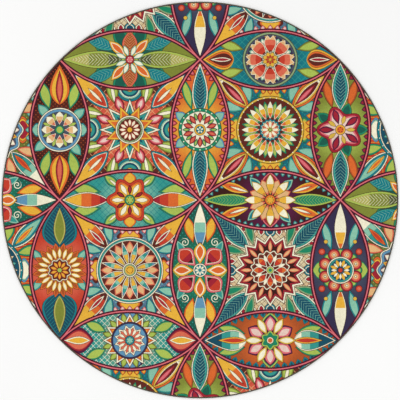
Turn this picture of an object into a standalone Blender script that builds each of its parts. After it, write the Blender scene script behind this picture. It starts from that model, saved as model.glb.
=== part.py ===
"""Round printed rug: one dense, low-pile sheet on its backing, cut to a circle and laid flat.

Metres, +Z up. The origin is the centre of the underside, on the floor that the rug lies on.
"""

from math import radians

import bmesh
import bpy
from mathutils import Vector

# ---- driving dimensions ----
DIAMETER = 1.200  # across the finished rim
THICKNESS = 0.006  # backing and clipped pile together
SHOULDER_RADIUS = 0.0024  # the pile's edge, drawn down by the stitching at the rim
HEEL_RADIUS = 0.0012  # the backing's edge, only just eased

# ---- facets ----
RIM_SIDES = 240  # straight sides that stand for the round rim
SHOULDER_STEPS = 4  # rows of faces round the shoulder
HEEL_STEPS = 2  # rows of faces round the heel
SHARP_ANGLE = radians(30)  # flatter edges than this are shaded smooth

# ---- finish: dyed polyester pile, seen from afar as the mean of its print ----
PILE_COLOUR = (0.270, 0.198, 0.114, 1.0)  # linear warm olive brown
PILE_ROUGHNESS = 0.95


def clear_scene():
    """Start from an empty scene, and keep the file's settings."""
    for thing in list(bpy.data.objects):
        bpy.data.objects.remove(thing, do_unlink=True)


def pile_material():
    material = bpy.data.materials.new("printed polyester pile")
    material.use_nodes = True
    shader = material.node_tree.nodes["Principled BSDF"]
    shader.inputs["Base Color"].default_value = PILE_COLOUR
    shader.inputs["Roughness"].default_value = PILE_ROUGHNESS
    shader.inputs["Metallic"].default_value = 0.0
    return material


def rim_edges(mesh, height):
    """The ring of edges that lies at one height, all the way round."""
    flat = 1e-6
    return [e for e in mesh.edges if all(abs(v.co.z - height) < flat for v in e.verts)]


def round_over(mesh, height, radius, steps):
    """Turn the sharp ring at this height into a quarter round."""
    bmesh.ops.bevel(
        mesh,
        geom=rim_edges(mesh, height),
        offset=radius,
        segments=steps,
        profile=0.5,
        affect="EDGES",
        clamp_overlap=True,
    )


def make_rug():
    """A round blank, raised to its thickness, with both rims eased."""
    mesh = bmesh.new()
    bmesh.ops.create_circle(mesh, cap_ends=True, segments=RIM_SIDES, radius=DIAMETER / 2)
    raised = bmesh.ops.extrude_face_region(mesh, geom=list(mesh.faces))
    top = [part for part in raised["geom"] if isinstance(part, bmesh.types.BMVert)]
    bmesh.ops.translate(mesh, verts=top, vec=Vector((0, 0, THICKNESS)))
    round_over(mesh, THICKNESS, SHOULDER_RADIUS, SHOULDER_STEPS)
    round_over(mesh, 0.0, HEEL_RADIUS, HEEL_STEPS)
    bmesh.ops.recalc_face_normals(mesh, faces=list(mesh.faces))

    data = bpy.data.meshes.new("rug")
    mesh.to_mesh(data)
    mesh.free()
    data.materials.append(pile_material())
    data.shade_smooth()
    data.set_sharp_from_angle(angle=SHARP_ANGLE)

    rug = bpy.data.objects.new("rug", data)
    bpy.context.scene.collection.objects.link(rug)
    return rug


clear_scene()
make_rug()
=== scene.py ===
# %% [markdown]
# # A round printed rug
#
# The real thing is one sheet: a short polyester pile on a thin backing, printed with dye from
# edge to edge, cut to a circle, and overlocked with thread so that the cut edge doesn't fray.
# It lies flat.
#
# This notebook first loads the frame, the measured solid that the rug has to fill. Then it spins
# the cloth, stitches its rim, and dyes it. Most of the work is in the dyeing. The print is worked
# out by formula, from compass-and-ruler motifs, so it stays sharp however near one looks.

# %% Load the frame
from math import atan2, ceil, cos, floor, hypot, pi, radians, sin, sqrt

import bpy
import numpy as np
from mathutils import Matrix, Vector


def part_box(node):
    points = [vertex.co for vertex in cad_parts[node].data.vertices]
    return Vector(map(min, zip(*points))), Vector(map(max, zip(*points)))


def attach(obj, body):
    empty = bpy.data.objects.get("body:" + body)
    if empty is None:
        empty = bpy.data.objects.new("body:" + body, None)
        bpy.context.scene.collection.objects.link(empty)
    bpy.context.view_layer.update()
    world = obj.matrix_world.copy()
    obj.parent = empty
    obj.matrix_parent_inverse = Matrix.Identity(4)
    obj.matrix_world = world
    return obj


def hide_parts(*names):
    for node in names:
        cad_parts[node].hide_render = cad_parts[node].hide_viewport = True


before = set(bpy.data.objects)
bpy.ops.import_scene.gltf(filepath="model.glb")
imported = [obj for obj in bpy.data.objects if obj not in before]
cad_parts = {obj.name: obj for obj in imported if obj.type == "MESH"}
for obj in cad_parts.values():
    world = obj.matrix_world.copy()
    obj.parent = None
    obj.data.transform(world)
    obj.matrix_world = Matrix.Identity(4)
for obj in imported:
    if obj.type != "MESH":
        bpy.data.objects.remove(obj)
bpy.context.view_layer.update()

LOW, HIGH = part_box("rug")
RIM_RADIUS = (HIGH[0] - LOW[0]) / 2
PILE_TOP = HIGH[2]
FLOOR = LOW[2]
MM = 0.001
print(f"the rug is {2 * RIM_RADIUS / MM:.0f} mm across and {(PILE_TOP - FLOOR) / MM:.1f} mm thick")

# %% [markdown]
# ## Camera
#
# A flat rug is best shown like a map: the camera hangs straight above its middle and looks down.
# A short lens would have to come close, and would look at the rim aslant. A long one hangs high,
# and its rays are nearly parallel.

# %% Hang the camera
LENS = 100.0  # mm, on Blender's 36 mm sensor
SENSOR = 36.0
MARGIN = 1.0072  # half the width that the camera sees, in rug radii

camera_data = bpy.data.cameras.new("camera")
camera_data.lens = LENS
camera_data.sensor_width = SENSOR
camera = bpy.data.objects.new("camera", camera_data)
camera.location = (0, 0, PILE_TOP + RIM_RADIUS * MARGIN * 2 * LENS / SENSOR)
bpy.context.scene.collection.objects.link(camera)
bpy.context.scene.camera = camera
bpy.context.scene.view_settings.view_transform = "Standard"  # dyes show as their hex values
print(f"the camera hangs {camera.location.z:.2f} m up")

# %% [markdown]
# ## Colours and nodes
#
# Colours are kept as the hex values that a dyer's card would give, and one function turns them to
# the linear values that Blender works in. Another one adds one node to a material, sets it up and
# fills its sockets, so that a recipe for a finish reads as a list of steps.


# %% Helpers for colours and nodes
def linear(hex_value):
    """An sRGB hex colour as linear red, green, blue and alpha."""
    parts = [int(hex_value[i : i + 2], 16) / 255 for i in (1, 3, 5)]
    return (*(c / 12.92 if c <= 0.04045 else ((c + 0.055) / 1.055) ** 2.4 for c in parts), 1.0)


def fill(tree, sockets, values):
    """Link or set sockets, by name or by number."""
    for place, value in values.items():
        if isinstance(value, bpy.types.NodeSocket):
            tree.links.new(value, sockets[place])
        else:
            sockets[place].default_value = value


def add(tree, kind, into=(), give=0, **settings):
    """Add a node, set it up, fill its inputs, and return one of its outputs."""
    node = tree.nodes.new("ShaderNode" + kind)
    for name, value in settings.items():
        setattr(node, name, value)
    fill(tree, node.inputs, into if isinstance(into, dict) else dict(enumerate(into)))
    return node.outputs[give]


def new_material(name):
    """A material with a plain shader, its nodes, and the shader's sockets."""
    material = bpy.data.materials.new(name)
    material.use_nodes = True
    return material, material.node_tree, material.node_tree.nodes["Principled BSDF"].inputs


print(f"the hex value #808080 is {linear('#808080')[0]:.3f} in linear light")

# %% [markdown]
# ## Floor and light
#
# The floor is a plain pale board. A bright sky and three broad lamps give even light, so that the
# dyes read true. The left lamp is the strongest, so that the pile's relief and the thread still
# cast a little shade.

# %% Lay the floor
FLOOR_SIZE = 12.0  # metres
FLOOR_GAP = 0.0002  # metres, to keep the floor clear of the rug's underside
COAT_PATCHES = 3.0  # thicker patches of the coat in a metre

bpy.ops.object.select_all(action="DESELECT")
bpy.ops.mesh.primitive_plane_add(size=FLOOR_SIZE, location=(0, 0, FLOOR - FLOOR_GAP))
board = bpy.context.object
board.name = "floor"

# Matt white lacquer, rolled on: near white, with the faint unevenness of a rolled coat.
floor_paint, tree, shader = new_material("rolled white lacquer")
spot = add(tree, "TexCoord", give="Object")
coat = add(tree, "TexNoise", {"Vector": spot, "Scale": COAT_PATCHES, "Detail": 2.0})
tint = add(tree, "ValToRGB", [coat])
tint.node.color_ramp.elements[0].color = linear("#FAFAF9")
tint.node.color_ramp.elements[1].color = linear("#FEFEFD")
fill(tree, shader, {"Base Color": tint, "Roughness": 0.7})
board.data.materials.append(floor_paint)
print(f"a floor {FLOOR_SIZE:.0f} m wide")

# %% Hang the lamps and light the sky
LAMPS = (  # name, place and width in metres, power in watts
    ("left lamp", (-3.2, 1.4, 3.6), 2.6, 63.0),
    ("right lamp", (3.2, -1.0, 3.8), 2.6, 46.0),
    ("front lamp", (0.4, -3.6, 3.2), 2.2, 27.0),
)
SKY_STRENGTH = 0.625

for name, place, width, power in LAMPS:
    lamp_data = bpy.data.lights.new(name, "AREA")
    lamp_data.size = width
    lamp_data.energy = power
    lamp = bpy.data.objects.new(name, lamp_data)
    lamp.location = place
    lamp.rotation_euler = (-Vector(place)).to_track_quat("-Z", "Y").to_euler()
    bpy.context.scene.collection.objects.link(lamp)

sky = bpy.data.worlds.new("sky")
sky.use_nodes = True
sky.node_tree.nodes["Background"].inputs["Color"].default_value = linear("#FFFFFF")
sky.node_tree.nodes["Background"].inputs["Strength"].default_value = SKY_STRENGTH
bpy.context.scene.world = sky
print(f"{len(LAMPS)} lamps and a bright sky")

# %% [markdown]
# ## The cloth
#
# A round mat could be a flattened cylinder, but its rim would be a sharp step and its top one big
# face. Here half of its section is drawn instead, as a row of points from the middle out, down
# into the seam, round the edge and back underneath, and that row is spun once round. In the seam
# the thread presses pile and backing together, so the pile slopes down to it and the section is
# thinner there. The rings lie close together, because further down the tiles of the print are
# told apart face by face.

# %% Draw half of the section
SEAM = (  # mm in from the rim, mm above the floor
    (6.2, 6.0),
    (5.4, 5.8),
    (4.8, 5.4),
    (4.3, 5.0),
    (2.4, 4.4),
    (1.4, 3.7),
    (1.2, 3.0),
    (1.4, 2.2),
    (2.0, 1.6),
    (2.9, 1.3),
    (3.5, 0.9),
    (3.9, 0.2),
    (4.4, 0.0),
)
PRESSED = 3  # the seam's point from which the pile is pressed flat under the thread
WAIST = 6  # the seam's outermost point: above it the rug is pile, below it backing
RING_STEP = 6.0 * MM  # between two rings of faces on top, less than the print's outline
UNDER_STEP = 30.0 * MM  # between two rings underneath
SPIN_STEPS = 480
SAME_PLACE = 0.01 * MM  # points nearer than this are one

seam = [(RIM_RADIUS - inward * MM, FLOOR + height * MM) for inward, height in SEAM]
pile_end = seam[0][0]
rings = round(pile_end / RING_STEP)
under_rings = round(pile_end / UNDER_STEP)
section = [(pile_end * k / rings, PILE_TOP) for k in range(rings)]
section += seam
section += [(pile_end * k / under_rings, FLOOR) for k in range(under_rings - 1, -1, -1)]
print(f"the section has {len(section)} points, {len(seam)} of them in the seam")

# %% Spin it once round
bpy.ops.object.select_all(action="DESELECT")
bpy.ops.mesh.primitive_plane_add(size=MM, location=(0, 0, PILE_TOP))
cloth = bpy.context.object
cloth.name = cloth.data.name = "rug_cloth"
bpy.ops.object.transform_apply(location=True, rotation=True, scale=True)
bpy.ops.object.mode_set(mode="EDIT")
bpy.ops.mesh.merge(type="CENTER")  # one point is left, to draw the section from
for (r0, z0), (r1, z1) in zip(section, section[1:]):
    bpy.ops.mesh.extrude_vertices_move(TRANSFORM_OT_translate={"value": (r1 - r0, 0, z1 - z0)})
bpy.ops.mesh.select_all(action="SELECT")
bpy.ops.mesh.spin(steps=SPIN_STEPS, angle=2 * pi, center=(0, 0, 0), axis=(0, 0, 1))
bpy.ops.mesh.select_all(action="SELECT")
bpy.ops.mesh.remove_doubles(threshold=SAME_PLACE)
bpy.ops.mesh.normals_make_consistent(inside=False)
bpy.ops.object.mode_set(mode="OBJECT")
print(f"the spun cloth has {len(cloth.data.polygons)} faces")

# %% [markdown]
# A real rug is never quite flat: its pile stands a little higher where it was brushed up, and
# lower where it was rolled. Moving points by hand would take all day, so a Displace modifier
# lifts the pile by a soft cloud. A vertex group keeps the seam and the underside out of it.
#
# Two helpers come first. One makes an object the only one that an operator works on. The other
# reads a value from every point, face or corner of a mesh as one array, which is far quicker than
# asking them one by one.


# %% Select one piece, and read its mesh
def work_on(obj):
    """Make this the only selected object, and the active one."""
    bpy.ops.object.select_all(action="DESELECT")
    obj.select_set(True)
    bpy.context.view_layer.objects.active = obj


def read(items, name, width=1, kind=float):
    """Read one value, or a few, from each item of a mesh as an array."""
    values = np.empty(len(items) * width, dtype=kind)
    items.foreach_get(name, values)
    return values.reshape(-1, width) if width > 1 else values


points = read(cloth.data.vertices, "co", 3)
print(f"the cloth has {len(points)} points")

# %% Let the pile rise and fall
PILE_RISE = 0.9 * MM  # from the lowest dip to the highest hump
PILE_CLOUD = 0.11  # metres from one hump to the next
PILE_FADE = 0.03  # metres over which the humps die out towards the seam
SMOOTH = radians(40)  # faces that meet more flatly than this are shaded as one

inwards = pile_end - np.hypot(points[:, 0], points[:, 1])
on_top = points[:, 2] > PILE_TOP - SAME_PLACE
pile = cloth.vertex_groups.new(name="pile")
for index in np.flatnonzero(on_top & (inwards > 0)):
    pile.add([int(index)], min(1.0, inwards[index] / PILE_FADE), "REPLACE")

cloud = bpy.data.textures.new("brushed pile", "CLOUDS")
cloud.noise_scale = PILE_CLOUD
cloud.noise_depth = 1
work_on(cloth)
brush = cloth.modifiers.new("brushed pile", "DISPLACE")
brush.texture = cloud
brush.texture_coords = "LOCAL"
brush.direction = "Z"
brush.strength = PILE_RISE
brush.mid_level = 0.5
brush.vertex_group = pile.name
bpy.ops.object.modifier_apply(modifier=brush.name)
bpy.ops.object.shade_smooth_by_angle(angle=SMOOTH)
heights = read(cloth.data.vertices, "co", 3)[:, 2] / MM
print(f"the cloth reaches from {heights.min():.2f} to {heights.max():.2f} mm above the floor")

# %% [markdown]
# ## The overlocked rim
#
# An overlock machine wraps thread round the cut edge, loop after loop, each leaning forward on
# top and back underneath. A painted stripe would look flat from the side. So one loop is made
# from a ring, by moving its cross-sections one at a time: sideways, so that it leans, and up or
# down, so that it turns into the cloth as sharply as thread does at its stitch hole. An Array
# modifier then walks the loop round the rim, turned by the same small angle each time, by way of
# an empty that holds that angle.

# %% Make a ring of thread
THREAD = 1.12 * MM  # half the thread's thickness
LOOPS = 1350
LOOP_SIDES = 12
THREAD_SIDES = 6
PROUD = 0.3 * MM  # how far the loops stand above the pile

half_height = (PILE_TOP + PROUD - FLOOR) / 2
loop_middle = RIM_RADIUS - half_height
loop_radius = half_height - THREAD
bpy.ops.object.select_all(action="DESELECT")
bpy.ops.mesh.primitive_torus_add(
    major_segments=LOOP_SIDES,
    minor_segments=THREAD_SIDES,
    major_radius=loop_radius,
    minor_radius=THREAD,
    location=(loop_middle, 0, FLOOR + half_height),
    rotation=(pi / 2, 0, 0),
)
overlock = bpy.context.object
overlock.name = overlock.data.name = "rim_overlock"
bpy.ops.object.transform_apply(location=True, rotation=True, scale=True)
print(f"one loop has {len(overlock.data.polygons)} faces")

# %% Lean it over
LEAN = 0.9 * MM  # how far a loop's top is ahead of its middle
DRAWN_OUT = 0.4 * MM  # how much further out the loop's inner end lies than on a round ring
SQUARING = 1.16  # over 1, the thread turns down into the cloth more sharply than a round ring


def pick(obj, wanted):
    """In edit mode, select only the vertices whose number passes the test."""
    bpy.ops.object.mode_set(mode="EDIT")
    bpy.ops.mesh.select_mode(type="VERT")
    bpy.ops.mesh.select_all(action="DESELECT")
    bpy.ops.object.mode_set(mode="OBJECT")
    for vertex in obj.data.vertices:
        vertex.select = wanted(vertex.index)
    bpy.ops.object.mode_set(mode="EDIT")


# Each point's angle round the ring, from its outer side, is noted before anything is moved.
ring = overlock.data.vertices
angles = [atan2(v.co.z - FLOOR - half_height, v.co.x - loop_middle) for v in ring]
for angle in np.arange(LOOP_SIDES) * 2 * pi / LOOP_SIDES:
    pick(overlock, lambda index: cos(angles[index] - angle) > cos(pi / LOOP_SIDES))
    height = sin(angle)
    squared = max(-1, min(1, SQUARING * height)) if cos(angle) < 0 else height
    outwards = DRAWN_OUT * (1 - cos(angle)) / 2
    upwards = loop_radius * (squared - height)
    bpy.ops.transform.translate(value=(outwards, LEAN * height, upwards))
bpy.ops.object.mode_set(mode="OBJECT")
widest = max(vertex.co.y for vertex in ring)
print(f"the leaning loop is {2 * widest / MM:.1f} mm wide")

# %% Walk it round the rim
bpy.ops.object.select_all(action="DESELECT")
bpy.ops.object.empty_add(location=(0, 0, 0), rotation=(0, 0, 2 * pi / LOOPS))
step = bpy.context.object
work_on(overlock)
walk = overlock.modifiers.new("walk", "ARRAY")
walk.count = LOOPS
walk.use_relative_offset = False
walk.use_object_offset = True
walk.offset_object = step
bpy.ops.object.modifier_apply(modifier=walk.name)
bpy.data.objects.remove(step, do_unlink=True)
bpy.ops.object.shade_smooth()
print(f"{LOOPS} loops, one every {2 * pi * RIM_RADIUS / LOOPS / MM:.2f} mm")

# %% [markdown]
# ## Tiles
#
# The print is the old overlapping-circles pattern of quilts and floors. Equal circles are centred
# on the squares of a grid, and each goes through its square's four corners. So neighbours
# overlap in a pointed leaf, which lies along the side that their squares share. What is left of
# each circle between its four leaves is a star with four points and hollow sides. The cloth is
# a patchwork of leaf tiles and star tiles, outlined by the circles.
#
# Each tile carries its own medallion. One material for the whole print would be huge, so each
# design is a material of its own, and each face of the cloth takes the design of the tile that
# its middle is in. The ragged steps where two designs meet are hidden by the outline of the
# circles, which is wider than a face and is drawn by every design alike.

# %% Where each design goes
CIRCLE = 300.0  # mm, the radius of each circle
PITCH = CIRCLE * sqrt(2)  # mm, from one circle's middle to the next
OUTLINE = 6.7  # mm, half the width of the circles' outline

# Columns and rows count in pitches from the rug's middle. A star fills the square to the right
# of its column and above its row.
STARS = {
    (-2, 0): "rosette", (-1, 0): "compass", (0, 0): "sunflower", (1, 0): "wheel",
    (-2, -1): "wheel", (-1, -1): "medal", (0, -1): "lace", (1, -1): "rosette",
    (-1, 1): "lace", (0, 1): "medal", (-1, -2): "sunflower", (0, -2): "compass",
}
# A lying leaf starts at its column and reaches along its row to the next one.
LYING = {
    (-2, 0): "clover", (-1, 0): "poppy", (0, 0): "lily", (1, 0): "fern",
    (-1, 1): "fern", (0, 1): "windmill", (-1, -1): "thistle", (0, -1): "bell",
}
# A standing leaf starts at its row and reaches up its column to the next one.
STANDING = {
    (-1, 0): "tulip", (0, 0): "fan", (1, 0): "pansy", (0, 1): "bramble",
    (-1, -1): "marigold", (0, -1): "clover", (1, -1): "bramble", (0, -2): "pansy",
}
print(f"{len(STARS)} star tiles and {len(LYING) + len(STANDING)} leaf tiles")

# %% [markdown]
# ## Motifs by compass and ruler
#
# A pattern painter would draw a rosette by folding paper: mark out one slice, draw half a petal,
# and unfold. Shader nodes can do the same. The group "fold" turns a place on the tile into a
# place on one half slice, so whatever is drawn there shows in all of them. "place" then moves to
# where the motif starts and turns to face along it. Most other groups answer one question: how
# deep inside the shape is this place, in millimetres? Outside, the answer is negative. Depth is
# all that is needed for outlines, rims and fillings of an even width.
#
# Wiring dozens of Math nodes by hand is slow and hard to read, so each group is written as a
# worksheet. Every line is one node: the value's name, the operation, and what it works on. The
# operation is one of the Math node's, or an earlier worksheet.

# %% Draw a worksheet up as a node group
CONSTANTS = {"pi": pi, "tau": 2 * pi, "diagonal": sqrt(2)}  # the diagonal of a unit square
GROUPS = {}


def worksheet(name, takes, gives, steps):
    """Make a node group that takes some values by name, and gives others."""
    tree = bpy.data.node_groups.new(name, "ShaderNodeTree")
    for socket in takes.split():
        tree.interface.new_socket(socket, in_out="INPUT", socket_type="NodeSocketFloat")
    for socket in gives.split():
        tree.interface.new_socket(socket, in_out="OUTPUT", socket_type="NodeSocketFloat")
    start = tree.nodes.new("NodeGroupInput")
    known = {**CONSTANTS, **{socket: start.outputs[socket] for socket in takes.split()}}
    lines = steps.strip().split("\n")
    for line in lines:
        value, operation, *terms = line.split()
        terms = [known[term] if term in known else float(term) for term in terms]
        if operation in GROUPS:
            known[value] = add(tree, "Group", terms, node_tree=GROUPS[operation][0])
        else:
            known[value] = add(tree, "Math", terms, operation=operation)
    end = tree.nodes.new("NodeGroupOutput")
    for socket in gives.split():
        tree.links.new(known[socket], end.inputs[socket])
    GROUPS[name] = tree, takes.split(), gives.split()
    print(f"{name}: {len(lines)} steps")


# %% Two sums that many worksheets need
# How far a place is from the middle.
worksheet("reach", "x y", "far", """
yy MULTIPLY y y
sum MULTIPLY_ADD x x yy
far SQRT sum
""")
# How far a count is from half way between two whole numbers. It makes a pattern repeat.
worksheet("beat", "count", "away", """
part FRACT count
off SUBTRACT part 0.5
away ABSOLUTE off
""")

# %% Fold the paper, and find the motif's place on it
worksheet("fold", "x y folds turn", "u v", """
far reach x y
angle ARCTAN2 y x
lean RADIANS turn
swung SUBTRACT angle lean
slice DIVIDE tau folds
share DIVIDE swung slice
whole ROUND share
skip MULTIPLY whole slice
left SUBTRACT swung skip
along COSINE left
across SINE left
u MULTIPLY far along
side MULTIPLY far across
v ABSOLUTE side
""")
worksheet("place", "u v ahead aside tilt", "p q", """
du SUBTRACT u ahead
dv SUBTRACT v aside
lean RADIANS tilt
c COSINE lean
s SINE lean
cu MULTIPLY du c
p MULTIPLY_ADD dv s cu
su MULTIPLY du s
cv MULTIPLY dv c
q SUBTRACT cv su
""")

# %% Stand on the nearest circle's middle, for a row of petals along a tile's edge
worksheet("leaf_edge", "x y pitch", "x y", """
up ABSOLUTE y
y ABSOLUTE x
x MULTIPLY_ADD pitch 0.5 up
""")
worksheet("star_edge", "x y pitch", "x y", """
across ABSOLUTE x
up ABSOLUTE y
long MAXIMUM across up
x SUBTRACT pitch long
y MINIMUM across up
""")

# %% Grounds, discs and dots
worksheet("ground", "x y", "depth", """
depth reach x y
""")
worksheet("disc", "x y radius", "depth", """
far reach x y
depth SUBTRACT radius far
""")
worksheet("dot", "p q radius", "depth", """
far reach p q
depth SUBTRACT radius far
""")

# %% Petals, and the veins in them
# A petal's half width swells and shrinks along it like half a wave.
worksheet("petal", "p q length half swell", "depth", """
part DIVIDE p length
begun MAXIMUM part 0
t MINIMUM begun 1
swollen POWER t swell
bow MULTIPLY swollen pi
arch SINE bow
edge MULTIPLY arch half
side ABSOLUTE q
depth SUBTRACT edge side
""")
worksheet("veins", "p q inside pitch wide inset", "depth", """
side ABSOLUTE q
slant SUBTRACT p side
count DIVIDE slant pitch
away beat count
far MULTIPLY away pitch
half MULTIPLY wide 0.5
line SUBTRACT half far
room SUBTRACT inside inset
depth MINIMUM line room
""")

# %% Wavy discs, stars and curls
# A wavy disc's rim swings out and in once for each fold.
worksheet("lobes", "u v folds radius swing", "depth", """
far reach u v
angle ARCTAN2 v u
times MULTIPLY angle folds
wave COSINE times
edge MULTIPLY_ADD wave swing radius
depth SUBTRACT edge far
""")
# A star's half slice has one side, from its tip to its valley.
worksheet("star", "u v folds tip valley", "depth", """
slice DIVIDE pi folds
c COSINE slice
s SINE slice
inner MULTIPLY valley c
run SUBTRACT inner tip
rise MULTIPLY valley s
side reach run rise
short SUBTRACT tip u
a MULTIPLY short rise
b MULTIPLY_ADD v run a
depth DIVIDE b side
""")
# A curl's line moves out by one pitch in each turn.
worksheet("curl", "p q radius half turns", "depth", """
far reach p q
pitch DIVIDE radius turns
coil DIVIDE far pitch
angle ARCTAN2 q p
part DIVIDE angle tau
count SUBTRACT coil part
away beat count
gap MULTIPLY away pitch
line SUBTRACT half gap
room SUBTRACT radius far
depth MINIMUM line room
""")

# %% Specks and lattices, to fill a ground
# The nearest speck is either in the middle of a square or at its corner.
worksheet("specks", "x y pitch radius", "depth", """
cx DIVIDE x pitch
cy DIVIDE y pitch
ax beat cx
ay beat cy
bx SUBTRACT 0.5 ax
by SUBTRACT 0.5 ay
near reach ax ay
next reach bx by
nearest MINIMUM near next
far MULTIPLY nearest pitch
depth SUBTRACT radius far
""")
worksheet("lattice", "x y pitch half", "depth", """
up ADD x y
down SUBTRACT x y
slope MULTIPLY pitch diagonal
cu DIVIDE up slope
cd DIVIDE down slope
au beat cu
ad beat cd
nearest MINIMUM au ad
far MULTIPLY nearest pitch
depth SUBTRACT half far
""")

# %% The outline of the circles
# How far a place is from the line of a circle round the place 0, 0.
worksheet("off_circle", "x y circle", "away", """
far reach x y
off SUBTRACT far circle
away ABSOLUTE off
""")
# Mirroring brings every place into one quarter of a square. The circles that can pass near it
# are its own, two neighbours' and the one across the corner, and the nearest counts.
worksheet("outline", "x y circle pitch half", "depth", """
middle MULTIPLY pitch 0.5
wx FLOORED_MODULO x pitch
wy FLOORED_MODULO y pitch
sx SUBTRACT wx middle
sy SUBTRACT wy middle
ax ABSOLUTE sx
ay ABSOLUTE sy
bx SUBTRACT pitch ax
by SUBTRACT pitch ay
own off_circle ax ay circle
beside off_circle bx ay circle
above off_circle ax by circle
across off_circle bx by circle
two MINIMUM own beside
others MINIMUM above across
nearest MINIMUM two others
depth SUBTRACT half nearest
""")

# %% [markdown]
# ## Inks
#
# The inks of a motif are written from its outline inwards, as dyes with their widths in
# millimetres: "1.6, cream 3, red" is a dark line, a cream band and a red filling. A bare width is
# a line in the outline's dye. "red>amber 40" fades from one dye to the other over 40 mm.
#
# A Color Ramp fed with the depth paints all these bands at once. Its alpha is nought at the
# motif's outline and full just inside, and says where the motif covers what lies under it.

# %% Dyes
DYES = {
    "wine": "#3D1A16", "maroon": "#60271F", "plum": "#581C42", "indigo": "#362F4C",
    "slate": "#485060", "crimson": "#9F2433", "red": "#C23D2A", "coral": "#D86A50",
    "rose": "#DC6D74", "blush": "#E6C8BB", "orange": "#DA682E", "rust": "#A85127",
    "brown": "#74392A", "amber": "#E7B03C", "gold": "#D8B248", "peach": "#E2B37C",
    "cream": "#F2ECCF", "sand": "#D4C195", "lime": "#A9BE55", "khaki": "#B0AC5C",
    "olive": "#7F8735", "moss": "#50592F", "green": "#1F8560", "pine": "#1B5C4C",
    "sage": "#8AA376", "mint": "#88C0A6", "sea": "#35948A", "teal": "#157A83",
    "petrol": "#164D60", "steel": "#5F92B2", "claret": "#471026",
}
LINE_DYE = "wine"
print(f"{len(DYES)} dyes")


# %% Read a list of inks
def read_inks(inks):
    """Read a list of inks as bands: the first dye, the last dye, and the width in mm."""
    bands = []
    for band in inks.split(","):
        words = band.split()
        if words[0][0].isdigit():
            words.insert(0, LINE_DYE)
        first, _, last = words[0].partition(">")
        bands.append((first, last or first, float(words[1]) if words[1:] else 1.0))
    return bands


print(f"an example: {read_inks('1.6, cream 3, red>amber 40')}")

# %% Inks as a colour ramp
SOFT = 0.5  # mm over which one ink bleeds into the next
NARROWEST = 0.55  # mm, just wide enough for that


def ink_ramp(tree, depth, inks, solid=False):
    """The colour and the cover that these inks give at a depth in mm."""
    bands = read_inks(inks)
    stops = [(0.0, bands[0][0], float(solid))]
    start = 0.0
    for first, last, width in bands:
        end = start + max(width, NARROWEST)
        stops += [(start + SOFT, first, 1.0), (end, last, 1.0)]
        start = end
    part = add(tree, "Math", [depth, start], operation="DIVIDE")
    colour = add(tree, "ValToRGB", [part])
    elements = colour.node.color_ramp.elements
    for place, _, _ in stops[1:-1]:
        elements.new(place / start)
    for element, (place, ink, cover) in zip(elements, stops):
        element.position = place / start
        element.color = (*linear(DYES[ink])[:3], cover)
    return colour, colour.node.outputs["Alpha"]


print(f"an ink band is {NARROWEST} mm wide or more")

# %% [markdown]
# ## Designs
#
# A design is a table with one motif a line, painted in that order: its kind, its sizes in the
# columns below, and after a bar its inks. Sizes are in mm and angles in degrees. "folds" is how
# often the motif stands round the tile's middle, and "turn" is the direction of the first.
# "ahead" and "aside" say where a motif starts: how far out, and how far beside the slice's axis,
# where its mirror image stands too. "tilt" turns it from that axis. "half" is half of a
# petal's greatest width, or of a line's. A petal's "swell" is 1 if it is widest half way along,
# less if nearer its foot and more if nearer its tip. Edge petals stand in a row on the tile's
# own edge, "folds" of them to a full circle. Veins fill the petal in the line before them: they
# are "wide", one every "pitch", and keep an "inset" from its outline.
#
# A petal may have a second list of inks, for bands along it inside its skin. "clear" prints
# nothing: such a petal only guides the veins in the next line.

# %% The columns of each kind of motif
COLUMNS = {
    "ground": "",
    "specks": "pitch radius",
    "lattice": "pitch half",
    "disc": "radius",
    "dot": "folds turn ahead aside radius",
    "petal": "folds turn ahead aside tilt length half swell",
    "leaf_edge": "folds tilt length half swell",
    "star_edge": "folds tilt length half swell",
    "veins": "pitch wide inset",
    "lobes": "folds turn radius swing",
    "star": "folds turn tip valley",
    "curl": "folds turn ahead aside tilt radius half turns",
    "outline": "circle half",
}
print(f"{len(COLUMNS)} kinds of motif")

# %% Read a design
DESIGNS = {}


def read_motifs(table):
    """Read a table's lines as motifs: the kind, the sizes by name, and the lists of inks."""
    motifs = []
    for line in table.strip().split("\n"):
        sizes, *inks = line.split(" | ")
        kind, *numbers = sizes.split()
        sizes = dict(zip(COLUMNS[kind].split(), map(float, numbers), strict=True))
        motifs.append((kind, sizes, inks))
    return motifs


def design(name, table):
    """Keep a tile's design."""
    DESIGNS[name] = read_motifs(table)
    print(f"{name}: {len(DESIGNS[name])} motifs")


CIRCLE_LINES = read_motifs(f"outline {CIRCLE} {OUTLINE} | claret 4.6, rose")
print(f"the circles' outline reads {CIRCLE_LINES}")

# %% Sunflower, a star tile
design("sunflower", """
ground | petrol 70, petrol>teal 70, teal
specks 15 1.9 | sea
petal 4 0 84 0 0 44 40 0.8 | 1.5, green 5, 1.3, lime 5, amber
star_edge 92 0 19 8.6 0.7 | 1.4, orange 3, amber
petal 4 45 98 14 30 84 17 1 | 1.5, sea 4, mint
petal 4 45 92 0 0 158 27 0.8 | 1.6, orange 5, 1.4, gold 5, cream 1.6, maroon
petal 4 45 104 0 0 96 9 0.9 | 1.4, crimson 3, rose
dot 4 45 206 0 3.4 | cream
disc 103 | 2, gold 5, 1.6, maroon
dot 32 0 96.6 0 1.9 | cream
petal 16 11.25 34 0 0 56 10 1 | 1.2, green 3.4, lime
petal 16 0 26 0 0 62 10 1.2 | 1.2, cream 1.4 | orange 24, amber 16, cream
lobes 16 0 33 2 | 1.6, teal 5, cream 1.6, maroon
petal 8 0 3 0 0 23 6.4 1.2 | amber 1.5, cream
petal 8 22.5 10 0 0 15 3.4 1.2 | coral
disc 6 | 1.4, lime
""")

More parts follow.
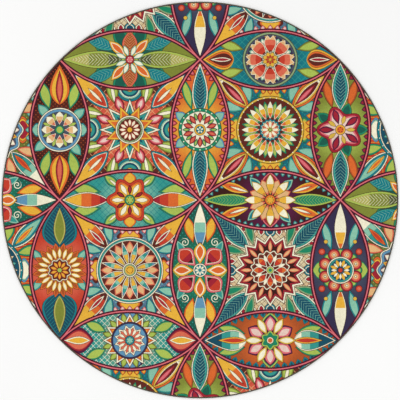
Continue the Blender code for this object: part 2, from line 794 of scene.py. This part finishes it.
# %% Compass, a star tile
design("compass", """
ground | coral 60, coral>red 70, maroon
lattice 16 0.9 | peach
dot 4 0 128 0 44 | 1.8, teal 6, 1.4, mint 4, cream 2, petrol 6, sea
dot 4 0 128 0 14 | 1.4, amber 4, red
petal 4 45 84 22 34 96 19 1 | 1.5, olive 4, lime
petal 4 45 84 22 34 70 6 1 | 1.3, cream
petal 4 45 90 0 0 158 27 0.8 | 1.6, teal 5, cream 1.6 | red 40, orange 34, amber
petal 4 45 112 0 0 70 5.5 1 | 1.2, cream
petal 8 22.5 52 0 0 58 15 1.1 | 1.4, crimson 4, rose 4, blush
star 8 0 98 48 | 1.8, cream 4, 1.5, sea 6, petrol
star 8 22.5 80 44 | 1.6, amber 5, orange
disc 44 | 1.8, cream 3, 1.2, sage 4, maroon
dot 16 0 34.4 0 1.7 | wine
petal 12 0 8 0 0 24 5 1.4 | coral 1.2, cream
disc 9 | 1.5, amber
""")

# %% Rosette, a star tile
design("rosette", """
ground | olive 80, olive>moss 60, moss
specks 15 1.9 | khaki
petal 4 0 80 0 0 48 42 0.8 | 1.6, orange 6, 1.2, amber 5, crimson
star_edge 80 0 17 9 0.7 | 1.3, sea 3, mint
petal 4 45 96 16 32 84 16 1 | 1.5, coral 4, peach
petal 4 45 92 0 0 160 24 0.8 | 1.6, cream 2.4, 1.2 | teal 40, sea 30, mint 24, cream
petal 4 45 104 0 0 80 9 0.9 | 1.4, orange 3, red
lobes 12 0 100 5 | 1.8, cream 3, 1.4, steel 7, slate 6, indigo
petal 12 15 34 0 0 54 10 1.4 | 1.2, gold 3.4, orange
petal 12 0 30 0 0 62 12 1.4 | 1.2, blush 2.4 | crimson 28, rose 16, cream
lobes 8 0 37 3 | 1.8, lime 4, green 5, pine
petal 8 22.5 4 0 0 26 6.6 1.3 | 1, cream 2, peach
disc 7 | 1.5, red
""")

# %% Wheel, a star tile
design("wheel", """
ground | orange 70, orange>red 60, red
petal 4 45 60 0 0 240 80 0.7 | clear
veins 13 2.2 0 | amber
petal 4 0 88 0 0 40 38 0.8 | 1.5, steel 5, 1.2, mint 4, cream
petal 4 45 90 20 32 92 18 1 | 1.5, green 5, lime
petal 4 45 92 0 0 160 25 0.8 | 1.8, cream 3, 1.3, teal 6, mint
petal 4 45 106 0 0 84 8 1 | 1.3, amber 3, orange
disc 103 | 2, teal 6, 1.4, cream 2.4, 1.4, petrol
dot 24 0 96.5 0 1.9 | cream
petal 12 15 36 0 0 50 11 1 | 1.2, sea 3, mint
petal 12 0 24 0 0 64 10 0.9 | 1.2, cream 1.4 | red 24, orange 16, amber
lobes 12 0 32 2 | 1.8, rose 4, 1.2, cream
petal 6 0 3 0 0 22 7 1.2 | 1, crimson 2.4, coral
disc 5 | 1, amber
""")

# %% Lace, a star tile
design("lace", """
ground | cream 60, cream>sand 50, sand>coral 50, coral
lattice 12 0.8 | brown
star_edge 72 0 24 11.5 0.7 | 1.5, cream 3.4, 1.2, crimson
dot 4 0 118 0 18 | 1.5, teal 4, cream 2, petrol
petal 4 45 88 16 30 90 14 1 | 1.4, sage 4, green
petal 4 45 88 0 0 162 28 0.8 | 1.7, cream 3, 1.2, sea 5, petrol
veins 10 1.7 8 | mint
star 16 0 112 88 | 1.8, cream 4, 1.6, crimson 4, wine
dot 16 11.25 84 0 2.8 | cream
petal 16 0 52 0 0 42 7.6 0.9 | 1.2, coral 2.6, peach
lobes 16 11.25 59 3 | 1.8, cream 3, 1.2, brown 4, maroon
petal 8 0 10 0 0 42 11 1.4 | cream 2, 1 | 12, red 14, orange
petal 8 22.5 26 0 0 24 4 1 | cream
disc 12 | cream 1.4, 1.2, lime 4, green
""")

# %% Medal, a star tile
design("medal", """
ground | steel 80, steel>slate 60, slate
specks 14 1.8 | mint
petal 4 0 82 0 0 46 40 0.8 | 1.6, maroon 6, 1.2, orange 5, amber
star_edge 88 0 18 8.6 0.7 | 1.3, rose 3, blush
petal 4 45 94 16 32 84 16 1 | 1.4, teal 4, mint
petal 4 45 90 0 0 160 26 0.8 | 1.7, cream 2.4, 1.2 | maroon 28, red 26, orange 24, amber
petal 4 45 106 0 0 74 8 0.9 | 1.3, cream 2.4, crimson
disc 102 | 1.8, cream 3, 1.4, sea 5, cream 1.6, maroon
petal 12 0 52 0 0 38 13.6 0.7 | 1.3, coral 4, peach
petal 12 15 14 0 0 76 9 0.9 | cream 1.8, 1.2 | gold 20, amber 14, mint 10, sea 12, steel
disc 23 | 1.6, cream 2.4, 1.2, sage 4, amber
dot 12 0 9 0 1.7 | wine
""")

# %% Lily, a leaf tile
design("lily", """
ground | plum 60, plum>wine 60, wine
leaf_edge 96 180 17 8 0.7 | 1.3, teal 3, mint
petal 2 0 60 22 17 104 15 1 | 1.4, amber 4, orange
petal 2 0 60 22 17 72 4.6 1 | 1.2, cream
petal 2 0 50 0 0 156 20 0.9 | 1.6, lime 4, green
veins 9 1.6 6 | lime
petal 2 90 34 0 0 52 26 0.8 | 1.5, rose 5, 1.2, crimson
petal 4 42 28 0 0 66 15 1.1 | 1.4, mint 4, teal
petal 8 22.5 10 0 0 58 15 1.3 | 1.4, coral 4, peach
petal 8 0 10 0 0 70 13 1.3 | 1.3, gold 2 | orange 18, amber 20, cream
disc 17 | 1.6, orange 4, amber
dot 8 0 9 0 1.8 | wine
""")

# %% Poppy, a leaf tile
design("poppy", """
ground | mint 40, mint>sea 60, sea
lattice 13 0.8 | teal
petal 2 0 84 24 8 96 20 1.2 | 1.4, green 4, lime
petal 2 0 60 0 0 148 25 0.9 | 1.6, cream 2.4, 1.2 | crimson 30, red 26, orange 30, amber
petal 2 0 30 36 40 66 15 1 | 1.4, green 4, lime
petal 2 0 30 36 40 46 4.4 1 | 1, cream
petal 2 90 50 0 0 36 20 0.8 | 1.4, orange 4, amber
lobes 6 0 62 10 | 1.8, red 8, 1.2, orange 7, amber
petal 6 30 14 0 0 32 7 1.2 | 1.2, maroon 2, crimson
petal 6 0 14 0 0 42 7.6 1.2 | 1.1, cream
disc 17 | 1.8, green 4, lime
dot 6 0 8 0 2 | wine
""")

# %% Fan, a leaf tile
design("fan", """
ground | amber 50, amber>orange 60, orange
leaf_edge 90 180 20 8.6 0.7 | 1.4, crimson 3, rose
petal 2 0 58 24 16 108 15 1 | 1.4, green 4, lime
petal 2 0 40 0 0 166 25 0.8 | 1.6, cream 3, 1.2, teal 6, petrol
veins 10 1.7 8 | mint
petal 2 0 22 34 52 52 16 1.1 | 1.4, steel 4, mint
disc 66 | 1.8, green 8, 1.4, cream
dot 20 0 60.5 0 2.2 | cream
petal 10 18 26 0 0 28 6 1.2 | 1.2, green 2, lime
petal 10 0 18 0 0 36 8.4 1.2 | 1.2, crimson 3, coral
disc 18 | 1.5, amber 4, 1.2, teal
petal 5 0 2 0 0 9 2.6 1.1 | cream
""")

# %% Clover, a leaf tile
design("clover", """
ground | green 40, green>pine 60, pine
specks 15 1.9 | sea
petal 2 0 80 20 14 90 17 1.1 | 1.4, orange 4, amber
petal 2 0 58 0 0 148 20 0.9 | 1.6, cream 2 | slate 26, steel 30, mint 30, cream
petal 2 90 30 0 0 56 30 0.8 | 1.5, lime 5, 1.2, teal
petal 2 0 34 40 28 66 13 1 | 1.4, mint 4, sea
curl 2 0 84 46 -20 13 1.5 1.6 | cream
petal 4 45 12 0 0 78 29 1.5 | 1.6, rose 6, cream 1.6 | 30, crimson 16, red
petal 4 0 12 0 0 72 20 1.4 | 1.5, amber 5, cream 3.6, orange
disc 22 | 1.8, cream 3, 1.2, teal
petal 8 0 3 0 0 13 3.2 1.2 | cream
""")

# %% Fern, a leaf tile
design("fern", """
ground | khaki 50, khaki>olive 60, olive
petal 8 22.5 20 0 0 100 22 1.1 | 1.4, green 5, pine
petal 2 0 40 30 22 110 19 0.9 | 1.4, sea 4, teal
veins 10 1.7 6 | mint
petal 2 0 14 0 0 192 27 0.8 | 1.6, lime 5 | moss 50, olive 60, khaki
veins 10 1.8 9 | cream
petal 2 90 8 0 0 80 24 1 | 1.5, coral 5, rust
veins 8 1.6 7 | peach
petal 4 48 10 0 0 76 15 1.1 | 1.4, amber 4, cream 2, orange
petal 8 22.5 6 0 0 42 8.4 1.2 | 1.2, mint 2, cream
disc 14 | 1.4, crimson 4, rose
dot 6 0 7 0 1.5 | cream
""")

# %% Windmill, a leaf tile
design("windmill", """
ground | petrol 50, petrol>teal 60, teal
lattice 15 0.9 | sea
petal 2 0 78 30 14 84 16 1.1 | 1.4, olive 4, lime
petal 2 0 110 0 0 96 32 0.6 | 1.6, amber 5, 1.2, orange 5, maroon
petal 2 0 116 0 0 70 8 0.8 | 1.3, cream 2.4, crimson
petal 2 90 60 0 0 30 36 0.8 | 1.4, coral 4, peach
disc 84 | 1.8, sage 5, 1.4, slate 5, indigo
dot 16 11.25 70 0 2.6 | amber
petal 8 22.5 14 0 0 56 13 1.3 | 1.3, mint 4, cream
petal 8 0 8 0 8 68 14 1.4 | 1.5, cream 1.8 | maroon 20, red 16, coral 16, peach
lobes 8 22.5 22 2.4 | 1.6, gold 4, amber
petal 8 0 2 0 0 14 3.6 1.2 | 0.9, red
""")

# %% Bell, a leaf tile
design("bell", """
ground | orange 40, orange>rust 60, rust
leaf_edge 84 180 20 9.4 0.7 | 1.4, teal 4, petrol
petal 2 0 74 20 14 92 16 1 | 1.4, green 4, lime
petal 2 0 72 0 0 130 33 0.6 | 1.6, cream 2.4, 1.2 | cream 22, mint 26, sea 26, petrol
petal 2 0 70 0 0 92 11 0.8 | 1.4, amber 3, red
petal 2 90 36 0 0 50 26 0.8 | 1.5, lime 5, green
petal 6 30 10 0 0 68 22 1.3 | 1.5, plum 5, rose 6, blush
petal 6 0 16 0 0 62 13 1.2 | 1.4, gold 4, cream
lobes 6 30 27 3.4 | 1.6, lime 4, green
disc 11 | 1.3, cream 2.4, orange
""")

# %% Thistle, a leaf tile
design("thistle", """
ground | sage 40, sage>sea 60, sea
lattice 12 0.8 | cream
petal 2 0 70 26 24 74 17 1 | 1.4, green 4, lime
petal 2 0 212 0 180 104 40 1.2 | 1.5, plum 5, 1.2, crimson 5, coral
petal 2 0 206 0 180 88 13 1.3 | 1.3, cream 3, amber
petal 2 90 88 0 180 38 40 1 | 1.5, indigo 5, 1.2, steel
petal 12 15 52 0 0 34 10 0.9 | 1.3, olive 3, lime
star 12 0 84 58 | 1.7, cream 3.6, 1.2, orange 4, amber
disc 57 | 1.6, indigo 5, steel
star 12 15 50 36 | 1.4, cream 3, 1.2, coral
petal 12 0 12 0 0 28 5 1.3 | 1.1, cream
disc 15 | 1.5, teal 4, mint
dot 6 0 8 0 1.6 | wine
""")

# %% Tulip, a leaf tile
design("tulip", """
ground | maroon 50, maroon>wine 60, wine
specks 13 1.8 | rust
petal 2 0 60 30 16 96 18 1 | 1.4, green 4, lime
petal 2 0 76 0 0 124 31 0.7 | 1.6, orange 6, amber
petal 2 0 78 0 0 104 12 0.8 | 1.4, crimson 4, coral
petal 4 40 40 0 0 62 16 1.1 | 1.4, sea 4, mint
petal 2 90 56 0 0 30 22 0.8 | 1.4, teal 4, mint
disc 68 | 1.8, cream 3, 1.4, steel 7, 1.2, slate
petal 8 22.5 26 0 0 30 6 1.1 | 1.1, lime
petal 8 0 10 0 0 46 13 1.5 | 1.3, cream 1.4 | coral 18, peach 12, cream
disc 15 | 1.4, green 4, lime
""")

# %% Pansy, a leaf tile
design("pansy", """
ground | lime 40, lime>olive 60, olive
leaf_edge 88 180 18 8.8 0.7 | 1.3, plum 3, crimson
petal 2 0 64 24 15 98 15 1 | 1.4, rust 4, orange
petal 2 0 56 0 0 150 27 0.9 | 1.6, cream 2.4, 1.2, sea 6, petrol
veins 10 1.8 9 | mint
petal 5 54 30 0 0 56 17 1 | 1.4, green 5, pine
lobes 5 90 62 11 | 1.8, crimson 8, rose 7, blush
petal 5 90 14 0 0 52 11 1.3 | 1.3, plum 3, crimson
petal 5 54 14 0 0 32 7 1.2 | 1.2, gold
disc 16 | 1.5, amber 4, orange
dot 5 0 7 0 1.8 | wine
""")

# %% Bramble, a leaf tile
design("bramble", """
ground | slate 50, slate>indigo 60, indigo
petal 2 0 56 26 16 106 15 1 | 1.4, teal 4, mint
petal 2 0 54 0 0 152 19 0.9 | 1.6, cream 2 | orange 26, amber 34, cream
petal 2 90 48 0 0 38 28 0.8 | 1.4, green 4, lime
dot 2 0 56 56 11 | 1.5, red 4, coral
dot 2 0 86 44 7 | 1.3, gold 2.4, amber
dot 8 0 54 0 13 | 1.5, green 4, lime
dot 8 22.5 50 0 19 | 1.6, crimson 4, coral 5, peach
dot 8 22.5 50 0 4 | 1.2, cream
disc 42 | 1.6, cream 3, 1.2, sea 5, petrol
petal 8 22.5 8 0 0 26 5.6 1.2 | 1, amber
petal 8 0 10 0 0 18 3.6 1.1 | cream
disc 8 | 1.4, red
""")

# %% Marigold, a leaf tile
design("marigold", """
ground | coral 50, coral>red 60, red
petal 2 0 70 0 0 142 54 0.6 | 1.5, teal 6, 1.3, petrol
veins 12 1.8 9 | sea
petal 2 0 76 0 0 116 19 0.8 | 1.5, khaki 4, olive
petal 2 0 18 50 34 58 13 1 | 1.4, sea 4, mint
petal 20 9 34 0 0 50 9.4 1.3 | 1.3, orange 3, rust
petal 20 0 26 0 0 44 7.6 1.3 | 1.2, amber 2.6, cream
lobes 10 0 35 2.6 | 1.6, cream 2.4, 1.2, maroon
petal 10 0 6 0 0 23 4.8 1.2 | orange 1.4, amber
disc 8 | 1.3, lime
""")

# %% [markdown]
# ## Painting a tile
#
# A tile is painted like a stack of paper cut-outs, from its ground up. Each motif first goes
# through its worksheets, which pick what they need by name from all that is known so far. What
# they find, such as the depth, is known to the next ones. Then a Mix node lays the motif's inks
# over the colours below, where they cover.

# %% What a motif goes through
CHAINS = {  # the worksheets that a motif goes through, unless only its own
    "dot": "fold place dot",
    "petal": "fold place petal",
    "curl": "fold place curl",
    "leaf_edge": "leaf_edge fold place petal",
    "star_edge": "star_edge fold place petal",
    "lobes": "fold lobes",
    "star": "fold star",
}
USUAL = {"turn": 0.0, "ahead": CIRCLE, "aside": 0.0, "tilt": 0.0, "pitch": PITCH}
print(f"{len(CHAINS)} kinds of motif go through more than their own worksheet")

# %% Paint the motifs over one another
COVER, BELOW, ABOVE, MIXED = 0, 6, 7, 2  # the sockets of a Mix node that mixes colours


def paint(tree, x, y, motifs, colour=None):
    """Paint motifs over a colour, from the first to the last, and return the result."""
    known = {"depth": 0.0}
    for kind, sizes, inks in motifs:
        known = {**known, "inside": known["depth"], "x": x, "y": y, **USUAL, **sizes}
        for name in CHAINS.get(kind, kind).split():
            group, takes, gives = GROUPS[name]
            into = {socket: known[socket] for socket in takes}
            found = add(tree, "Group", into, node_tree=group).node.outputs
            known |= {socket: found[socket] for socket in gives}
        skin, *along = inks
        if skin == "clear":
            continue
        depth = known["depth"]
        top, cover = ink_ramp(tree, depth, skin, solid=kind == "ground")
        if along:
            thick = sum(width for _, _, width in read_inks(skin))
            heart = add(tree, "MapRange", [depth, thick, thick + SOFT])
            bands, _ = ink_ramp(tree, known["p"], along[0], solid=True)
            layers = {COVER: heart, BELOW: top, ABOVE: bands}
            top = add(tree, "Mix", layers, give=MIXED, data_type="RGBA")
        if colour:
            layers = {COVER: cover, BELOW: colour, ABOVE: top}
            top = add(tree, "Mix", layers, give=MIXED, data_type="RGBA")
        colour = top
    return colour


print(f"{sum(map(len, DESIGNS.values()))} motifs in {len(DESIGNS)} designs to paint")

# %% [markdown]
# ## The dyed pile
#
# Polyester pile takes dye through and through, and scatters light in all directions: it is matt,
# with a faint pale sheen at grazing angles, from the tips of the fibres. Brushing leaves slightly
# lighter and darker patches. The tufts are about 1.5 mm wide, too fine to tell apart from where
# the camera hangs, so a second, coarser clumping of 7 mm is drawn as well, which does show. Both
# are painted darker where they lie low in the relief, as painted shade on top of their own uneven
# tone.

# %% Grain in millimetres
TUFT = 1.5  # mm
CLUMP = 7.0  # mm, coarser than life
NAP = 90.0  # mm, brushed patches
# For tufts and clumps the darkest gain falls where the same noise lowers the relief: painted
# shade, with the pile's own uneven tone.
GRAIN_AND_SHADE = (  # the size in mm, the noise's detail, and the darkest and the lightest gain
    (TUFT, 2.0, 0.82, 1.18),
    (CLUMP, 2.0, 0.93, 1.07),
    (NAP, 1.0, 0.95, 1.05),
)
NOISE_RANGE = (0.3, 0.7)  # a noise seldom leaves it


def in_mm(tree):
    """The place on the object, in mm."""
    spot = add(tree, "TexCoord", give="Object")
    return add(tree, "VectorMath", {0: spot, 3: 1 / MM}, operation="SCALE")


print(f"{len(GRAIN_AND_SHADE)} sizes of grain, from {TUFT} to {NAP} mm")

# %% The finish of dyed pile
CLUMP_SHARE = 0.8  # how much the clumps add to the relief of the tufts
PILE_DEPTH = 0.8 * MM  # between the tips of the tufts
PILE_ROUGHNESS = (0.86, 0.97)  # where clumps lie low, and where they stand


def pile_finish(tree, shader, colour, place):
    """Give a dyed surface its tufts, clumps and brushed patches. Places are in mm."""
    noises = []
    for size, detail, dark, light in GRAIN_AND_SHADE:
        noise = add(tree, "TexNoise", {"Vector": place, "Scale": 1 / size, "Detail": detail})
        # Darker where tufts and clumps lie low: painted shade, besides their uneven tone.
        gain = add(tree, "MapRange", [noise, *NOISE_RANGE, dark, light])
        colour = add(tree, "VectorMath", {0: colour, 3: gain}, operation="SCALE")
        noises.append(noise)
    tufts, clumps, _ = noises
    height = add(tree, "Math", [clumps, CLUMP_SHARE, tufts], operation="MULTIPLY_ADD")
    bump = add(tree, "Bump", {"Height": height, "Distance": PILE_DEPTH, "Strength": 0.7})
    rough = add(tree, "MapRange", [clumps, *NOISE_RANGE, *PILE_ROUGHNESS])
    fill(tree, shader, {"Base Color": colour, "Normal": bump, "Roughness": rough})
    fill(tree, shader, {"Specular IOR Level": 0.15, "Sheen Weight": 0.05})
    fill(tree, shader, {"Sheen Roughness": 0.5, "Sheen Tint": linear("#FFF6E8")})


print(f"the tufts are {PILE_DEPTH / MM:.1f} mm deep")

# %% [markdown]
# Every design needs one material. It paints its own motifs by the place on the tile, and then
# the outline of the circles by the place on the rug, so that the lines run on from tile to tile.
# Dye creeps a little along the fibres, so both places are first nudged about by a fine noise.

# %% Dye a material for each design
CREEP = 0.7  # mm, how far an ink edge wanders
NOISE_MEAN = (0.5, 0.5, 0.5)

dyed = {}
for name, motifs in DESIGNS.items():
    material, tree, shader = new_material(f"dyed polyester pile, {name}")
    on_rug = in_mm(tree)
    noise = {"Vector": on_rug, "Scale": 1 / TUFT, "Detail": 0.0}
    creep = add(tree, "TexNoise", noise, give="Color")
    creep = add(tree, "VectorMath", [creep, NOISE_MEAN], operation="SUBTRACT")
    creep = add(tree, "VectorMath", {0: creep, 3: CREEP * 2}, operation="SCALE")
    on_tile = add(tree, "UVMap", uv_map="tile")
    colour = None
    for place, layer in ((on_tile, motifs), (on_rug, CIRCLE_LINES)):
        crept = add(tree, "VectorMath", [place, creep], operation="ADD")
        x, y, _ = add(tree, "SeparateXYZ", [crept]).node.outputs
        colour = paint(tree, x, y, layer, colour)
    pile_finish(tree, shader, colour, on_rug)
    dyed[name] = material
nodes = sum(len(material.node_tree.nodes) for material in dyed.values())
print(f"{len(dyed)} designs, {nodes} nodes")

# %% [markdown]
# ## Backing and pressed pile
#
# The backing is a plain weave of undyed polyester yarn, 2 mm from thread to thread: where one
# thread passes over the other it is raised, and its colour is painted paler there, with painted
# shade in the hollows. The product of two sine waves gives such a chequer of bumps. Under the
# overlock, the pressed pile is dark and dull, because little light gets between the loops.

# %% Weave the backing
WEAVE = 2.0  # mm, from thread to thread
WEAVE_DEPTH = 0.4 * MM  # from the hollows of the weave to its humps
SLUB = 2.5  # mm, the thick and thin places in the yarn
SLUB_SHARE = (-0.3, 0.3)  # what they add to waves that run from -1 to 1
BACKING_ROUGHNESS = (0.92, 0.8)  # in the hollows and on the humps

backing, tree, shader = new_material("plain-woven undyed polyester backing")
place = in_mm(tree)
waves = []
for across in add(tree, "SeparateXYZ", [place]).node.outputs[:2]:
    turn = add(tree, "Math", [across, pi / WEAVE], operation="MULTIPLY")
    waves.append(add(tree, "Math", [turn], operation="SINE"))
weave = add(tree, "Math", waves, operation="MULTIPLY")
yarn = add(tree, "TexNoise", {"Vector": place, "Scale": 1 / SLUB, "Detail": 3.0})
uneven = add(tree, "MapRange", [yarn, *NOISE_RANGE, *SLUB_SHARE])
weave = add(tree, "Math", [weave, uneven], operation="ADD")
shade = add(tree, "MapRange", [weave, -1.0, 1.0, 0.0, 1.0])
# The ramp paints the humps of the weave paler and its hollows darker: painted shade, with the
# slubs' own uneven tone on top.
colour = add(tree, "ValToRGB", [shade])
colour.node.color_ramp.elements[0].color = linear("#A99A83")
colour.node.color_ramp.elements[1].color = linear("#D8CCB6")
bump = add(tree, "Bump", {"Height": shade, "Distance": WEAVE_DEPTH, "Strength": 0.8})
rough = add(tree, "MapRange", [shade, 0.0, 1.0, *BACKING_ROUGHNESS])
fill(tree, shader, {"Base Color": colour, "Normal": bump, "Roughness": rough})
fill(tree, shader, {"Specular IOR Level": 0.3})
print(f"the backing has {1 / (WEAVE * MM):.0f} threads a metre")

# %% Press the pile
# The pressed pile's dark colour is painted shade: little light gets between the loops of thread.
PRESSED_SHADE = "#2E281F"

pressed, tree, shader = new_material("pressed polyester pile under thread")
pile_finish(tree, shader, linear(PRESSED_SHADE)[:3], in_mm(tree))
print(f"the pressed pile is {PRESSED_SHADE}")

# %% [markdown]
# ## Thread
#
# The thread is spun polyester, two plies twisted together: a soft shine, with slanting shadows
# between the plies, painted into its colour as well as raised in its relief, and a fuzz of short
# fibres. The plies have to follow the loop, so they use the map that the ring was made with: the
# way along the loop, and the way round the thread.

# %% Twist the plies, and dye them, with painted shade between them
PLIES = 2
TWISTS = 4  # turns of the plies in one loop
WORN = 20.0  # mm, from one worn place to the next
WEAR_SHARE = (-0.5, 0.5)  # what wear adds to waves that run from -1 to 1

thread, tree, shader = new_material("twisted spun polyester thread")
loop_map = add(tree, "UVMap", uv_map="ring")
along, around, _ = add(tree, "SeparateXYZ", [loop_map]).node.outputs
around = add(tree, "Math", [around, PLIES], operation="MULTIPLY")
turn = add(tree, "Math", [along, TWISTS * PLIES, around], operation="MULTIPLY_ADD")
turn = add(tree, "Math", [turn, 2 * pi], operation="MULTIPLY")
ply = add(tree, "Math", [turn], operation="SINE")
place = in_mm(tree)
wear = add(tree, "TexNoise", {"Vector": place, "Scale": 1 / WORN, "Detail": 4.0})
faded = add(tree, "MapRange", [wear, *NOISE_RANGE, *WEAR_SHARE])
ply = add(tree, "Math", [ply, faded], operation="ADD")
shade = add(tree, "MapRange", [ply, -1.5, 1.5, 0.0, 1.0])
# The ramp paints shade into the grooves between the plies and lighter colour onto their backs; the
# worn places shift it at random.
colour = add(tree, "ValToRGB", [shade])
colour.node.color_ramp.elements[0].color = linear("#373126")
colour.node.color_ramp.elements[1].color = linear("#766B55")
print(f"the {PLIES} plies turn {TWISTS} times in each loop")

# %% Raise the plies, and give them fuzz
FIBRE = 0.35  # mm, the width of a tuft of fuzz, coarser than life
FUZZ_GAIN = (0.75, 1.25)  # how dark and how light it is
FUZZ_SHARE = 0.8  # how much it adds to the relief of the plies
PLY_DEPTH = 0.3 * MM  # from the grooves between the plies to their backs
HIGHEST = 1.4  # both reliefs together, where fuzz stands on a ply's back
THREAD_ROUGHNESS = (0.85, 0.65)  # in the grooves, and up there

fuzz = add(tree, "TexNoise", {"Vector": place, "Scale": 1 / FIBRE, "Detail": 2.0})
gain = add(tree, "MapRange", [fuzz, *NOISE_RANGE, *FUZZ_GAIN])
colour = add(tree, "VectorMath", {0: colour, 3: gain}, operation="SCALE")
height = add(tree, "Math", [fuzz, FUZZ_SHARE, shade], operation="MULTIPLY_ADD")
bump = add(tree, "Bump", {"Height": height, "Distance": PLY_DEPTH, "Strength": 1.0})
rough = add(tree, "MapRange", [height, 0.0, HIGHEST, *THREAD_ROUGHNESS])
fill(tree, shader, {"Base Color": colour, "Normal": bump, "Roughness": rough})
fill(tree, shader, {"Specular IOR Level": 0.4, "Sheen Weight": 0.1})
overlock.data.materials.append(thread)
print(f"fuzz of {FIBRE} mm on plies {PLY_DEPTH / MM:.1f} mm deep")

# %% [markdown]
# ## Cut the print to the cloth
#
# Each face of the cloth takes the design of the tile that its middle is in. Which tile that is
# follows from the circles. A place in a square of the grid is in its star, unless the circle of
# the nearest square beside it reaches that far, which makes it part of a leaf.


# %% Which tile is it?
def tile_at(x, y):
    """The design at a place in mm, the middle of its tile, and whether it stands upright."""
    column, row = floor(x / PITCH), floor(y / PITCH)
    middle_x, middle_y = (column + 0.5) * PITCH, (row + 0.5) * PITCH
    across, up = abs(x - middle_x), abs(y - middle_y)
    if hypot(PITCH - max(across, up), min(across, up)) > CIRCLE:
        return STARS[column, row], (middle_x, middle_y), False
    if up > across:
        row = round(y / PITCH)
        return LYING[column, row], (middle_x, row * PITCH), False
    column = round(x / PITCH)
    return STANDING[column, row], (column * PITCH, middle_y), True


print(f"the rug's middle is where four leaves meet, the {tile_at(1.0, 0.0)[0]} among them")

# %% Give each face its material
mesh = cloth.data
for material in [*dyed.values(), backing, pressed]:
    mesh.materials.append(material)
slots = {name: index for index, name in enumerate(dyed)}
backing_slot, pressed_shade_slot = len(dyed), len(dyed) + 1
pressed_radius, waist_height = seam[PRESSED][0] / MM, seam[WAIST][1] / MM

faces = len(mesh.polygons)
middles = read(mesh.polygons, "center", 3) / MM
is_under = middles[:, 2] < waist_height
face_slots = np.full(faces, backing_slot, dtype=np.int32)
tile_middles = np.zeros((faces, 2))
upright = np.zeros(faces, dtype=bool)
for face, (x, y, _) in enumerate(middles):
    # Beyond this radius the faces take the pressed pile, painted dark as the shade under the
    # thread.
    if hypot(x, y) > pressed_radius:
        face_slots[face] = pressed_shade_slot
    elif not is_under[face]:
        name, tile_middles[face], upright[face] = tile_at(x, y)
        face_slots[face] = slots[name]
mesh.polygons.foreach_set("material_index", face_slots)
print(f"{(face_slots < backing_slot).sum()} faces dyed, {faces} in all")

# %% [markdown]
# Two maps are unfolded on the cloth. "tile" holds, for each corner of a face, its place on the
# face's own tile, in mm from the tile's middle, so that every design can be drawn upright. The
# other one lays the whole cloth out flat without overlaps: the pile as a disc, by its length
# along the section, and the underside as a small disc in the corner that is left. It is for
# painting the finish into one picture when the rug is handed on to other programs.


# %% Unfold the tiles
def unfold(mesh, name, places):
    """Lay a mesh out on a new map, with one place for each corner of its faces."""
    layer = mesh.uv_layers.new(name=name)
    layer.data.foreach_set("uv", places.ravel().astype(np.float32))
    return layer


points = read(mesh.vertices, "co", 3)
corners = read(mesh.loops, "vertex_index", kind=np.int32)
face_of = np.repeat(np.arange(faces), read(mesh.polygons, "loop_total", kind=np.int32))
x, y = (points[corners, :2] / MM - tile_middles[face_of]).T
turned = upright[face_of]
unfold(mesh, "tile", np.stack([np.where(turned, y, x), np.where(turned, -x, y)], 1))
print(f"{len(corners)} corners on their tiles, {turned.sum()} of them turned")

# %% Measure the way along the section
way = [0.0]
for (r0, z0), (r1, z1) in zip(section, section[1:]):
    way.append(way[-1] + hypot(r1 - r0, z1 - z0))
way = np.array(way)
way_to_waist = way[rings + WAIST]

section_r, section_z = np.array(section).T
from_axis = np.hypot(points[:, 0], points[:, 1])
gaps = (from_axis[:, None] - section_r) ** 2 + (points[:, 2, None] - section_z) ** 2
way_of_points = way[gaps.argmin(1)]
print(f"it is {way_to_waist / MM:.0f} mm to the waist, and {way[-1] / MM:.0f} mm to the other end")

# %% Unfold the whole cloth
PILE_DISC, PILE_MIDDLE = 0.497, 0.5  # the discs' radii and middles, in widths of the picture
UNDER_DISC, UNDER_MIDDLE = 0.084, 0.914

below = is_under[face_of]
way_in = way_of_points[corners]
pile_reach = way_in / way_to_waist * PILE_DISC
under_reach = (way[-1] - way_in) / (way[-1] - way_to_waist) * UNDER_DISC
laid_out = np.where(below, under_reach, pile_reach)
angle = np.arctan2(points[corners, 1], points[corners, 0])
x = laid_out * np.cos(angle) * np.where(below, -1, 1)  # the underside is seen from below
y = laid_out * np.sin(angle)
flat = np.stack([x, y], 1) + np.where(below, UNDER_MIDDLE, PILE_MIDDLE)[:, None]
mesh.uv_layers.active = unfold(mesh, "OFBake", flat)
print(f"the cloth's map runs from {flat.min():.3f} to {flat.max():.3f}")

# %% [markdown]
# The loops of thread need such a map too. The ring was made with a map of its own, and every
# copy has the same one. So each loop's map is shrunk into a small square, and the squares are
# set out in rows.

# %% Unfold the thread
SQUARE_FILL = 0.9  # of a square's width

squares = ceil(sqrt(LOOPS))
mesh = overlock.data
ring_map = read(mesh.uv_layers[0].data, "uv", 2)
mesh.uv_layers[0].name = "ring"
loop_of = np.repeat(np.arange(LOOPS), len(ring_map) // LOOPS)
square = np.stack([loop_of % squares, loop_of // squares], 1)
unfold(mesh, "OFBake", (square + 0.5 + (ring_map - 0.5) * SQUARE_FILL) / squares)
print(f"{squares} by {squares} squares for {LOOPS} loops")

# %% [markdown]
# ## Fit the frame
#
# The cloth stands for the frame's solid, and both pieces lie still with it. The cloth was cut to
# a disc 1.2 m across.

# %% Hand the pieces over
for piece in (cloth, overlock):
    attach(piece, "root")
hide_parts("rug")
print(f"the cloth was cut {2 * RIM_RADIUS:.1f} m across")
